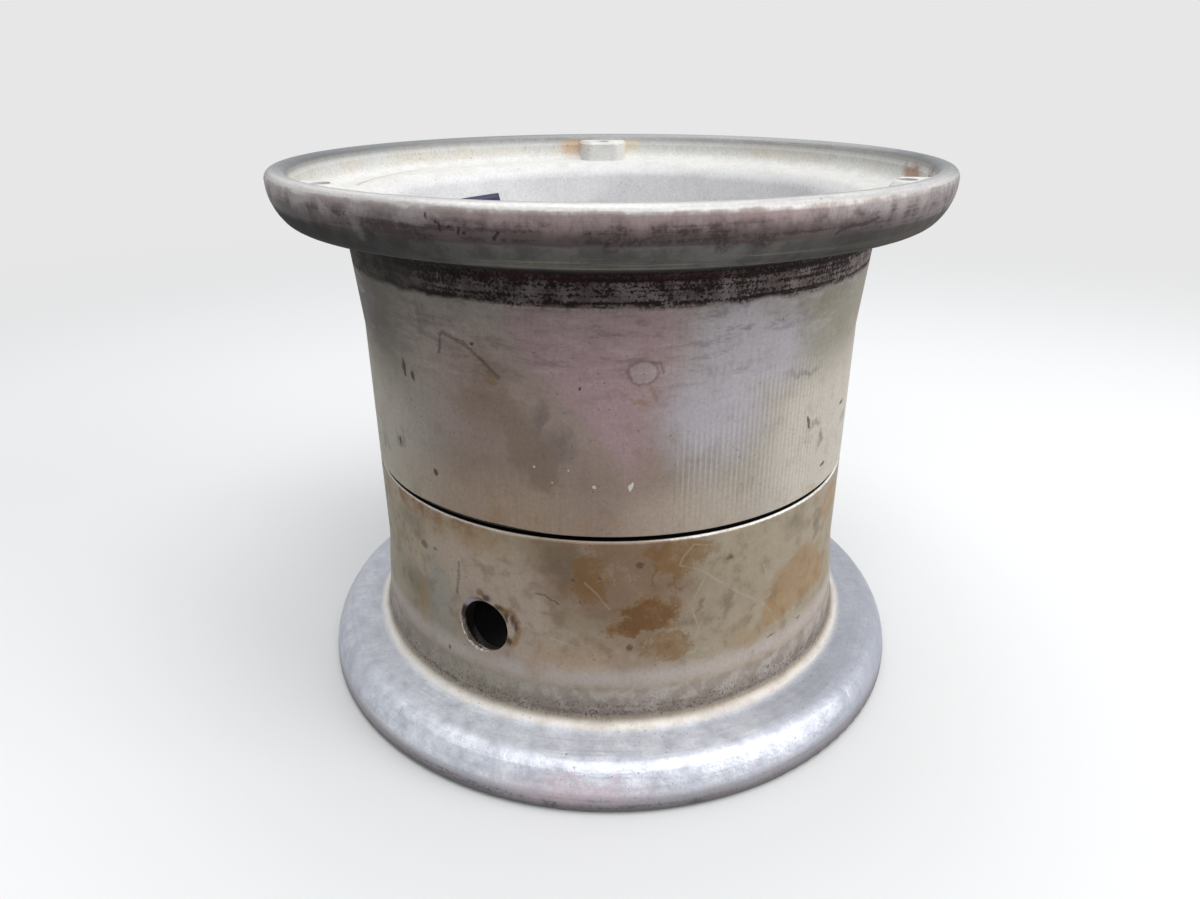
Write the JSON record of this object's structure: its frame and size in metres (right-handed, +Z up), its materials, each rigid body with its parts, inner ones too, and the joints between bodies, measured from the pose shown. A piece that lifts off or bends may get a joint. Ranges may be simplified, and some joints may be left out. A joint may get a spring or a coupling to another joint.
{
  "type": "aircraft wheel",
  "caption": "Split light-aircraft main wheel: flanged cast rim halves bolted web to web, with tapered roller bearings and felt grease seals in the hub.",
  "frame": {"origin": "centre of the plane on which the lower flange stands, on the axle axis", "axes": "+Z up along the axle axis, from the short half (valve hole) to the long half (hub cover bosses); -Y towards the side with the valve hole"},
  "size_m": [0.1904, 0.1905, 0.1568],
  "materials": {
    "casting": "worn cast and turned",
    "bearing_steel": "ground",
    "cage_steel": "pressed, oily",
    "spring_steel": "phosphated",
    "seal_steel": "plated",
    "felt": "greased felt",
    "fastener_steel": "cadmium plated"
  },
  "bodies": {
    "wheel": {"lower_wheel_half": "casting", "lower_bearing_cup": "bearing_steel", "lower_snap_ring": "spring_steel", "lower_outer_seal_ring": "seal_steel", "lower_felt_seal": "felt", "lower_inner_seal_ring": "seal_steel", "upper_wheel_half": "casting", "upper_bearing_cup": "bearing_steel", "upper_snap_ring": "spring_steel", "upper_outer_seal_ring": "seal_steel", "upper_felt_seal": "felt", "upper_inner_seal_ring": "seal_steel", "through_bolt_1": "fastener_steel", "head_washer_1": "fastener_steel", "nut_washer_1": "fastener_steel", "lock_nut_1": "fastener_steel", "through_bolt_2": "fastener_steel", "head_washer_2": "fastener_steel", "nut_washer_2": "fastener_steel", "lock_nut_2": "fastener_steel", "through_bolt_3": "fastener_steel", "head_washer_3": "fastener_steel", "nut_washer_3": "fastener_steel", "lock_nut_3": "fastener_steel"},
    "lower_cone": {"lower_bearing_cone": "bearing_steel"},
    "upper_cone": {"upper_bearing_cone": "bearing_steel"},
    "lower_roller_set": {"lower_roller_cage": "cage_steel", "lower_rollers": "bearing_steel"},
    "upper_roller_set": {"upper_roller_cage": "cage_steel", "upper_rollers": "bearing_steel"}
  },
  "joints": [
    {"name": "lower_cone_spin", "type": "hinge", "parent": "wheel", "child": "lower_cone", "pos_m": [0, 0, 0.03419], "axis": [0, 0, 1], "continuous": true},
    {"name": "lower_roller_orbit", "type": "hinge", "parent": "wheel", "child": "lower_roller_set", "pos_m": [0, 0, 0.03419], "axis": [0, 0, 1], "continuous": true},
    {"name": "upper_cone_spin", "type": "hinge", "parent": "wheel", "child": "upper_cone", "pos_m": [0, 0, 0.11181], "axis": [0, 0, 1], "continuous": true},
    {"name": "upper_roller_orbit", "type": "hinge", "parent": "wheel", "child": "upper_roller_set", "pos_m": [0, 0, 0.11181], "axis": [0, 0, 1], "continuous": true}
  ],
  "couplings": [
    {"joint": "lower_roller_orbit", "follows": "lower_cone_spin", "ratio": 0.432},
    {"joint": "upper_roller_orbit", "follows": "upper_cone_spin", "ratio": 0.432}
  ]
}
